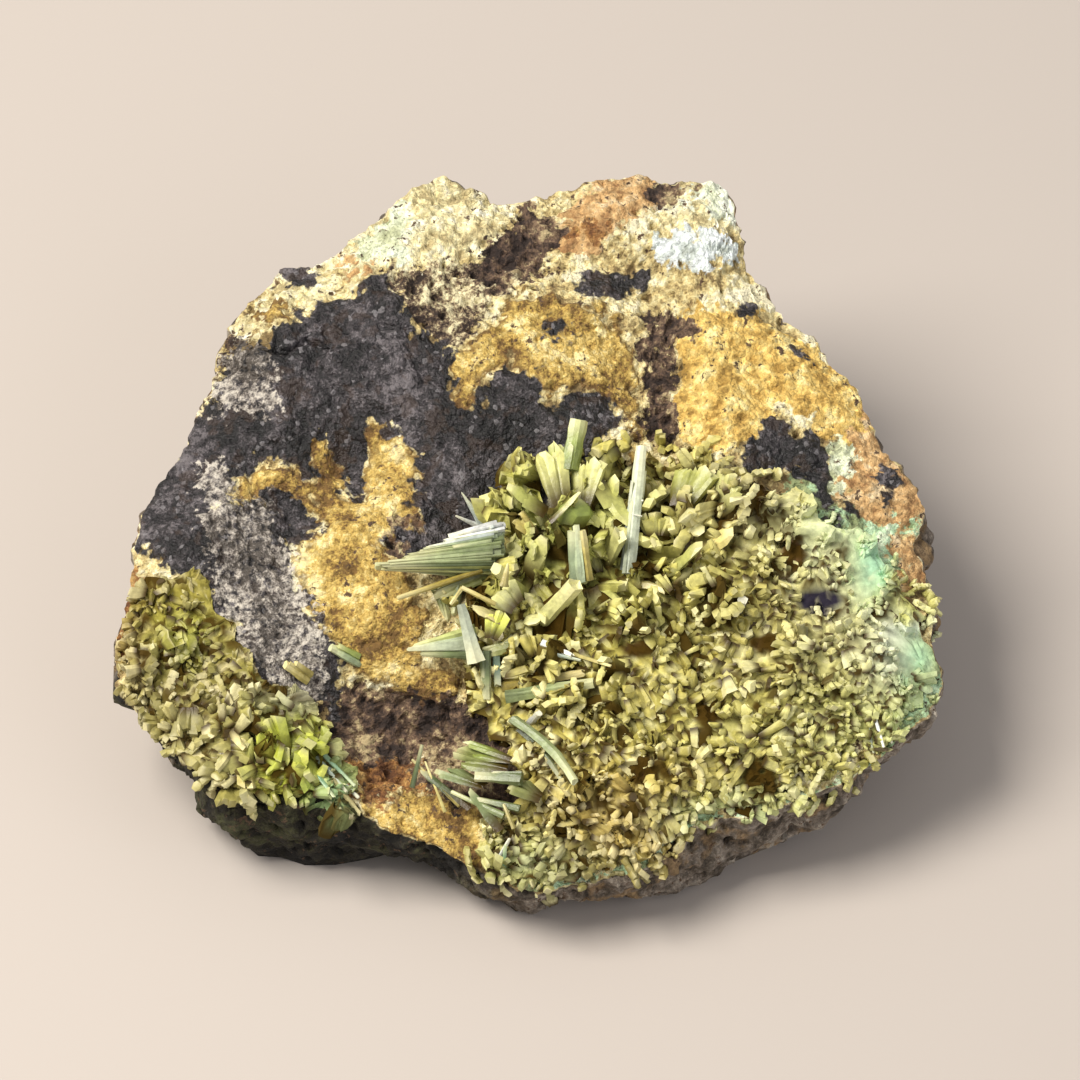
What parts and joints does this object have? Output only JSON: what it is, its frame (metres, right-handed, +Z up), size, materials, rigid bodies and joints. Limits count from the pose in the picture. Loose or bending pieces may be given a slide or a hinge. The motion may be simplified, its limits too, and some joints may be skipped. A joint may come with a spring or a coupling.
{
  "type": "raw pyromorphite mineral specimen",
  "caption": "Raw pyromorphite hand specimen: crowded olive-green prismatic crystals on a rough, oxide-stained matrix with a flat base to rest on.",
  "frame": {"origin": "middle of the specimen's bounding box in plan, on the plane of its flat base", "axes": "+X to the right across the display face, +Y towards the thick back, +Z up from the flat base; the crystal-bearing face looks up and towards -Y"},
  "size_m": [0.0828, 0.0764, 0.0323],
  "materials": {
    "matrix_rock": "rough broken rock, ochre and black oxide stains",
    "olive_crystal": "resinous, translucent olive-yellow crystals",
    "green_crystal": "resinous, translucent green crystals",
    "grey_green_crystal": "glossy grey-green prisms",
    "pale_crystal": "glossy pale prisms"
  },
  "bodies": {
    "root": {"matrix": "matrix_rock", "main_crystal_bed": "olive_crystal", "left_crystal_bed": "green_crystal", "prism_sheaf": "grey_green_crystal", "fan_prisms": "green_crystal", "pale_spray": "pale_crystal", "crossing_prisms": "grey_green_crystal", "lower_blades": "grey_green_crystal", "lone_green_crystal": "grey_green_crystal", "cream_crystal": "pale_crystal"}
  },
  "joints": []
}
